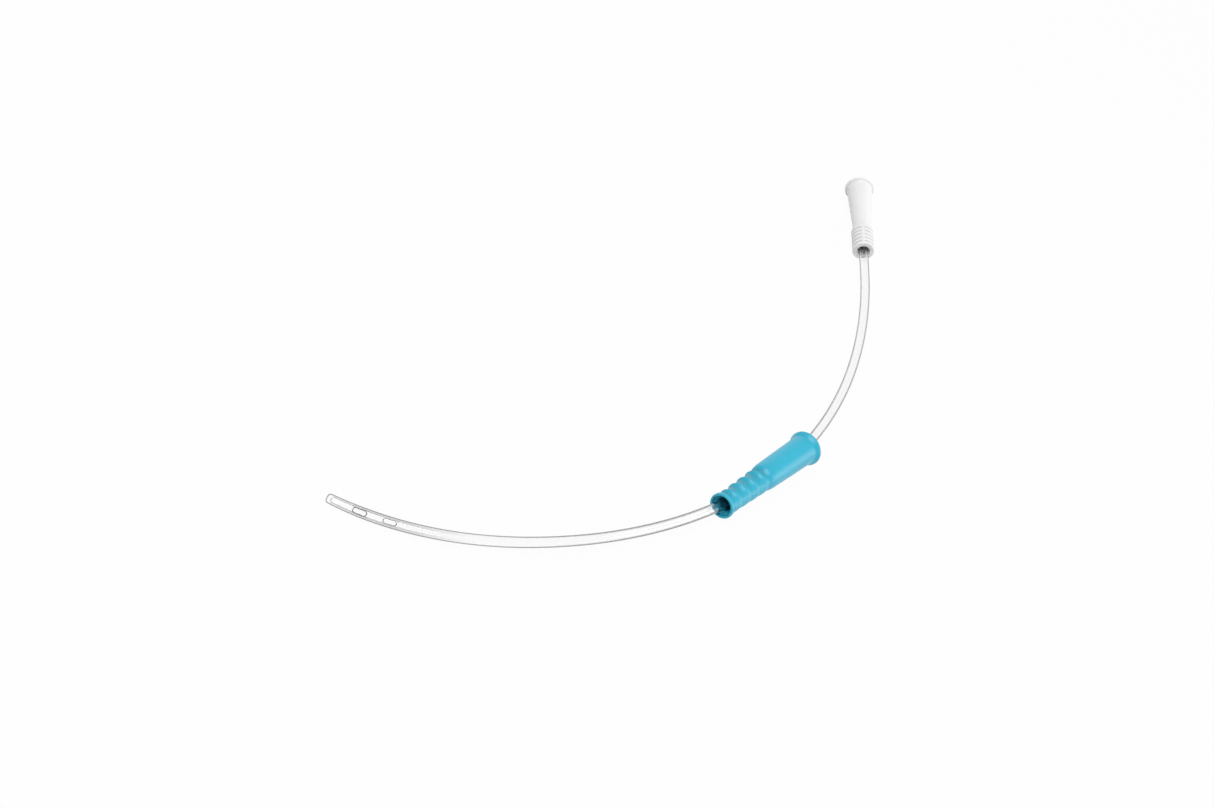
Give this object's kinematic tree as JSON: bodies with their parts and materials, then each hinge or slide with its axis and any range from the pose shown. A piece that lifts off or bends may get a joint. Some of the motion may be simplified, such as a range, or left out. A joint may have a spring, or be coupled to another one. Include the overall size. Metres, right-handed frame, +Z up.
{
  "type": "intermittent catheter",
  "caption": "Clear curved urinary catheter tube with a closed eyed tip, a sliding ringed grip sleeve and a flared drainage funnel.",
  "frame": {"origin": "on the surface that the catheter lies on, under the middle of the box around it", "axes": "+Z up from that surface, +Y along the drainage funnel from the tube to its open rim as seen from above, +X to the right of it; the tube bends toward -X on its way to the tip"},
  "size_m": [0.2307, 0.3025, 0.014],
  "materials": {
    "clear_tube": "clear, smooth and wet looking",
    "blue_elastomer": "satin, slightly translucent",
    "white_plastic": "satin"
  },
  "bodies": {
    "catheter": {"catheter_tube": "clear_tube", "drainage_funnel": "white_plastic"},
    "grip": {"grip_sleeve": "blue_elastomer"}
  },
  "joints": [
    {"name": "grip_slide", "type": "hinge", "parent": "catheter", "child": "grip", "pos_m": [-0.14797, 0.09415, 0], "axis": [0, 0, 1], "range_deg": [-21, 26]}
  ]
}
